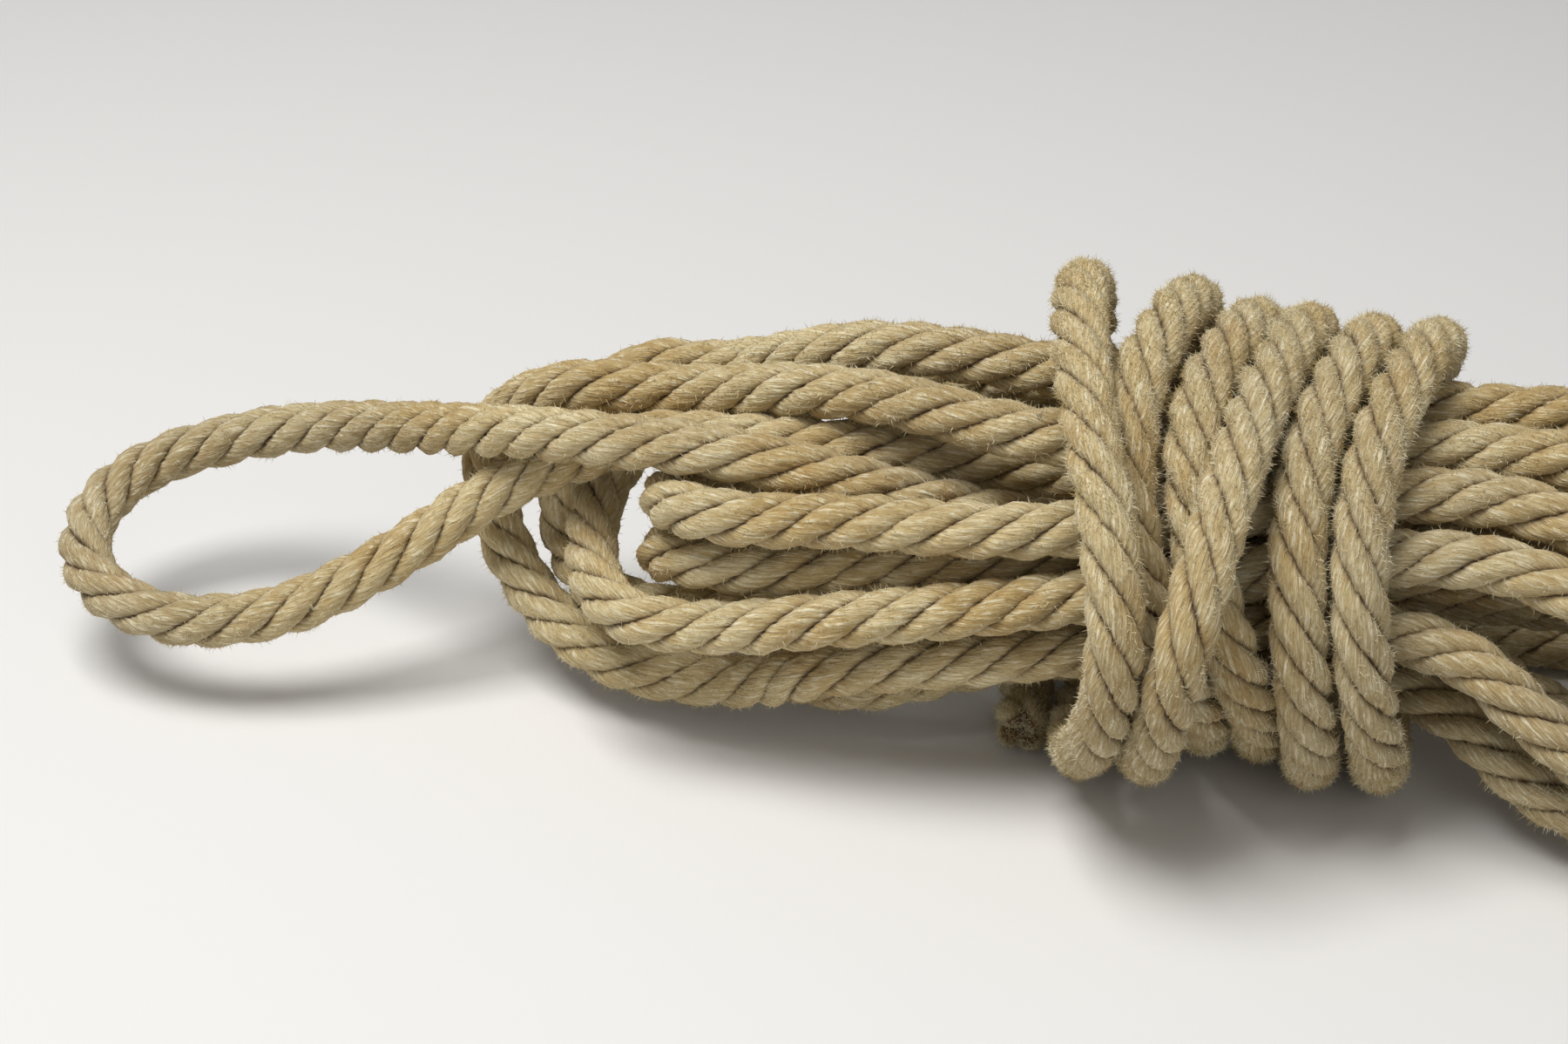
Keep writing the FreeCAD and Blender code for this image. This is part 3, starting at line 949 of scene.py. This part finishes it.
@dataclass
class Rope:
    """The whole rope: its route, its strands and its fuzz."""

    route: Route
    lay: Lay
    fuzz_density: float = 0.95e6
    turns_fuzz: float = 2.15
    fuzz_length: float = 1.0
    fuzz_thickness: float = 0.075
    fuzz_wildness: float = 1.1
    first_seed: int = 11
    resolution: int = 12
    lap: float = 0.1

    def __post_init__(self) -> None:
        """Works out where the centred hank is, from a node of the frame."""
        low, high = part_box("running_end")
        centre_x = (low[0] + high[0]) / 2
        centre_y = (low[1] + high[1]) / 2
        middle_y = self.route.end_y + self.route.end_length / 2
        self.shift = Vector((centre_x - self.route.end_x * MM, centre_y - middle_y * MM, 0.0))
        LOG.info("the hank is shifted by %s", tuple(round(v, 5) for v in self.shift))

    def placed(self, points: Sequence[Sequence[float]]) -> list[Vector]:
        """Points of the route in metres, in the frame."""
        return [Vector(point) * MM + self.shift for point in points]

    def stretches(self) -> list[Stretch]:
        """The rope's stretches, in order, each with its control points."""
        made = [Stretch("hanging_eye_rope", ("hanging_eye",), self.placed(self.route.eye))]
        for number, points in enumerate(self.route.loop_points(), 1):
            made.append(Stretch(f"hank_loop_{number}", ("hank_loops",), self.placed(points)))
        turns = self.route.turn_points()
        for first in range(0, len(turns), 2):
            points = turns[first] + turns[first + 1]
            name = f"waist_turns_{first + 1}_{first + 2}"
            made.append(Stretch(name, ("waist_wraps",), self.placed(points), turned=True))
        made[-1].nodes = ("waist_wraps", "running_end")
        made[-1].far_end = "bare"
        return made

    def centreline(self, stretches: Sequence[Stretch]) -> list[Vector]:
        """The points of the route's spline, as Blender evaluates it."""
        controls = [point for stretch in stretches for point in stretch.controls]
        data = bpy.data.curves.new("route", "CURVE")
        data.dimensions = "3D"
        data.resolution_u = self.resolution
        spline = data.splines.new("NURBS")
        spline.points.add(len(controls) - 1)
        for point, control in zip(spline.points, controls):
            point.co = (*control, 1.0)
        spline.order_u = 3
        spline.use_endpoint_u = True
        curve = bpy.data.objects.new("route", data)
        bpy.context.scene.collection.objects.link(curve)
        graph = bpy.context.evaluated_depsgraph_get()
        mesh = bpy.data.meshes.new_from_object(curve.evaluated_get(graph), depsgraph=graph)
        points = [vertex.co.copy() for vertex in mesh.vertices]
        bpy.data.objects.remove(curve)
        bpy.data.meshes.remove(mesh)
        return points

    def divide(self, stretches: Sequence[Stretch], points: Sequence[Vector]) -> None:
        """Gives each stretch its own part of the centreline."""
        start = 0
        done = 0
        total = sum(len(stretch.controls) for stretch in stretches)
        for stretch in stretches:
            done += len(stretch.controls)
            end = len(points) - 1
            if stretch is not stretches[-1]:
                end = round(done / total * (len(points) - 1))
            stretch.start, stretch.end = start, end
            stretch.points = list(points[start:end + 1])
            start = end

    def heading(self, points: Sequence[Vector], i: int) -> Vector:
        """The direction of the route at one of its points."""
        return (points[min(i + 1, len(points) - 1)] - points[max(i - 1, 0)]).normalized()

    def sides(self, points: Sequence[Vector]) -> list[Vector]:
        """A direction across the rope at every point, carried along without twist."""
        heading = (points[1] - points[0]).normalized()
        side = heading.orthogonal().normalized()
        found = []
        for i in range(len(points)):
            turned = self.heading(points, i)
            side = heading.rotation_difference(turned) @ side
            side = (side - turned * side.dot(turned)).normalized()
            heading = turned
            found.append(side.copy())
        return found

    def guide(self, stretch: Stretch, points: Sequence[Vector], sides: Sequence[Vector],
              along: Sequence[float]) -> bpy.types.Object:
        """A mesh line along a stretch, which carries the marks that the tree reads.

        It runs a little way into both neighbours, along the route's own direction,
        so that the strands of two stretches meet square and without a crack.

        Args:
            stretch: the stretch.
            points: the whole route's centreline.
            sides: a direction across the rope at each of these points.
            along: the length up to each of these points.

        Returns:
            The line, as an object that is in no collection.
        """
        lap = self.lap * MM
        first, last = stretch.start, stretch.end
        places = [points[first] - self.heading(points, first) * lap, *stretch.points,
                  points[last] + self.heading(points, last) * lap]
        across = [sides[first], *sides[first:last + 1], sides[last]]
        lengths = [along[first] - lap, *along[first:last + 1], along[last] + lap]
        mesh = bpy.data.meshes.new(stretch.name + "_guide")
        mesh.from_pydata(places, [(i, i + 1) for i in range(len(places) - 1)], [])
        mesh.attributes.new(Mark.SIDE.value, "FLOAT_VECTOR", "POINT")
        mesh.attributes.new(Mark.ALONG.value, "FLOAT", "POINT")
        for i, (side, length) in enumerate(zip(across, lengths)):
            mesh.attributes[Mark.SIDE.value].data[i].vector = side
            mesh.attributes[Mark.ALONG.value].data[i].value = length
        return bpy.data.objects.new(mesh.name, mesh)

    def build(self, finish: bpy.types.Material, fuzz: bpy.types.Material) -> None:
        stretches = self.stretches()
        points = self.centreline(stretches)
        self.divide(stretches, points)
        sides = self.sides(points)
        along = [0.0]
        for a, b in zip(points, points[1:]):
            along.append(along[-1] + (b - a).length)
        LOG.info("the rope is %.3f m long, on %d points", along[-1], len(points))
        strand_tree = StrandTree(self.lay).tree
        fuzz_tree = FuzzTree(Fray()).tree
        for number, stretch in enumerate(stretches):
            guide = self.guide(stretch, points, sides, along)
            rope = self.strands(stretch, guide, strand_tree, finish)
            hair = self.fuzz(stretch, rope, fuzz_tree, fuzz, number)
            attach(rope, BODY)
            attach(hair, BODY)
            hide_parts(*stretch.nodes)

    def strands(self, stretch: Stretch, guide: bpy.types.Object, tree: bpy.types.NodeTree,
                finish: bpy.types.Material) -> bpy.types.Object:
        """The strands of one stretch."""
        lay = self.lay
        return applied(guide, tree, {
            "Lay Turn": lay.rope_turn(), "Yarn Turn": lay.yarn_turn(),
            "Strand Offset": lay.offset * MM, "Radial Radius": lay.radial * MM,
            "Tangential Radius": lay.tangential * MM, "Yarns": lay.yarns,
            "Yarn Depth": lay.yarn_depth, "Roughness": lay.roughness,
            "Ring Step": lay.ring_step * MM,
            "End Round": (lay.end_round if stretch.far_end == "bare" else lay.cut_round) * MM,
            "Finish": finish,
        }, stretch.name)

    def fuzz(self, stretch: Stretch, rope: bpy.types.Object, tree: bpy.types.NodeTree,
             finish: bpy.types.Material, number: int) -> bpy.types.Object:
        """The loose fibres of one stretch."""
        frayed = stretch.points[-1] if stretch.far_end == "bare" else NOWHERE
        return applied(rope, tree, {
            "Density": self.fuzz_density * (self.turns_fuzz if stretch.turned else 1.0),
            "Length": self.fuzz_length * MM, "Thickness": self.fuzz_thickness * MM,
            "Wildness": self.fuzz_wildness, "Frayed At": frayed,
            "Seed": self.first_seed + number, "Finish": finish,
        }, stretch.name + "_fuzz")


# The stage


@dataclass(frozen=True)
class Lamp:
    """One square soft light that looks at the hank."""

    name: str
    place: Place
    size: float
    power: float
    aim: Place = (0.0, 0.0, 0.04)

    def build(self) -> None:
        """Makes the light."""
        data = bpy.data.lights.new(self.name, "AREA")
        data.shape = "SQUARE"
        data.size = self.size
        data.energy = self.power
        lamp = bpy.data.objects.new(self.name, data)
        lamp.location = self.place
        way = Vector(self.aim) - Vector(self.place)
        lamp.rotation_euler = way.to_track_quat("-Z", "Y").to_euler()
        bpy.context.scene.collection.objects.link(lamp)


@dataclass
class Stage:
    """The floor, the lights, the world and the camera."""

    shift: Vector
    camera_place: Place = (17.5, -496.2, 332.0)
    camera_yaw: float = 12.0
    camera_pitch: float = 29.9
    camera_roll: float = 0.5
    focal_pixels: float = 3390.0
    picture_width: float = 1800.0
    sensor_width: float = 36.0
    nearest: float = 0.01
    floor_half: float = 3.0
    lamps: Sequence[Lamp] = (
        Lamp("key_light", (-0.3, -0.25, 1.05), 0.6, 12.2),
        Lamp("fill_light", (0.6, -1.2, 0.9), 0.9, 2.5),
    )
    light_colour: tuple = (0.9, 0.93, 1.0, 1)
    light_strength: float = 0.23

    def build(self) -> None:
        """Makes the stage."""
        self.floor()
        for lamp in self.lamps:
            lamp.build()
        self.world()
        self.camera()
        bpy.context.scene.view_settings.view_transform = "Standard"

    def floor(self) -> None:
        """A plain floor under the hank."""
        half = self.floor_half
        mesh = bpy.data.meshes.new("floor")
        corners = [(-half, -half, 0), (half, -half, 0), (half, half, 0), (-half, half, 0)]
        mesh.from_pydata(corners, [], [(0, 1, 2, 3)])
        mesh.materials.append(FloorFinish().make())
        floor = bpy.data.objects.new("floor", mesh)
        bpy.context.scene.collection.objects.link(floor)

    def world(self) -> None:
        """A white background for the camera, and a dimmer one for the light."""
        world = bpy.data.worlds.new("studio")
        world.use_nodes = True
        tree = world.node_tree
        tree.nodes.clear()
        n = Nodes(tree)
        rays = n.add("ShaderNodeLightPath").outputs
        seen = n.maths("MAXIMUM", rays["Is Camera Ray"],
                       n.maths("MAXIMUM", rays["Is Glossy Ray"], rays["Is Transmission Ray"]))
        light = n.add("ShaderNodeBackground", {
            "Color": self.light_colour, "Strength": self.light_strength,
        })
        white = n.add("ShaderNodeBackground", {"Color": (1, 1, 1, 1), "Strength": 1.0})
        mix = n.add("ShaderNodeMixShader", {0: seen, 1: light.outputs[0], 2: white.outputs[0]})
        n.add("ShaderNodeOutputWorld", {0: mix.outputs[0]})
        bpy.context.scene.world = world

    def camera(self) -> None:
        """The camera, at the angle of the view that the hank is known from."""
        data = bpy.data.cameras.new("camera")
        data.sensor_width = self.sensor_width
        data.lens = self.focal_pixels / self.picture_width * data.sensor_width
        data.clip_start = self.nearest
        camera = bpy.data.objects.new("camera", data)
        yaw = Matrix.Rotation(math.radians(self.camera_yaw), 4, "Z")
        pitch = Matrix.Rotation(math.radians(90 - self.camera_pitch), 4, "X")
        roll = Matrix.Rotation(math.radians(self.camera_roll), 4, "Z")
        place = Vector(self.camera_place) * MM + self.shift
        camera.matrix_world = Matrix.Translation(place) @ yaw @ pitch @ roll
        bpy.context.scene.collection.objects.link(camera)
        bpy.context.scene.camera = camera


def main() -> None:
    """Builds the rope and the stage."""
    logging.basicConfig(level=logging.INFO, format="%(name)s: %(message)s")
    rope = Rope(Route(), Lay())
    rope.build(RopeFinish().make(), FuzzFinish().make())
    Stage(rope.shift).build()


if __name__ == "__main__":
    main()
